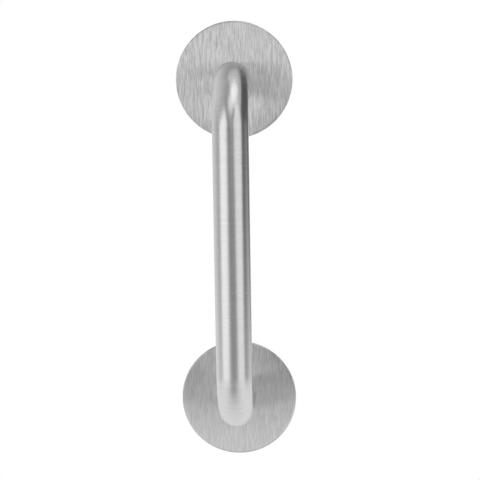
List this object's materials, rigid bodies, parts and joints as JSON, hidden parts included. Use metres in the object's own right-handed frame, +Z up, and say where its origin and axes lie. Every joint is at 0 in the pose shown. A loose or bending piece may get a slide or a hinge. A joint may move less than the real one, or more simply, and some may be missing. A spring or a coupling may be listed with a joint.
{
  "type": "door pull handle",
  "caption": "D-shaped pull handle: a bent round tube standing on flat round roses, bolted through the door into threaded inserts in the tube ends.",
  "frame": {"origin": "on the door face, midway between the two fixings", "axes": "+Z up along the grip, +Y into the door, so the grip stands out towards -Y; +X to the right of someone facing the door"},
  "size_m": [0.054, 0.05, 0.204],
  "materials": {
    "tube_steel": "satin, brushed round the tube",
    "rose_steel": "satin, brushed in straight upright lines",
    "insert_steel": "turned"
  },
  "bodies": {
    "root": {"grip_tube": "tube_steel", "upper_rose": "rose_steel", "lower_rose": "rose_steel", "upper_threaded_insert": "insert_steel", "lower_threaded_insert": "insert_steel"}
  },
  "joints": []
}
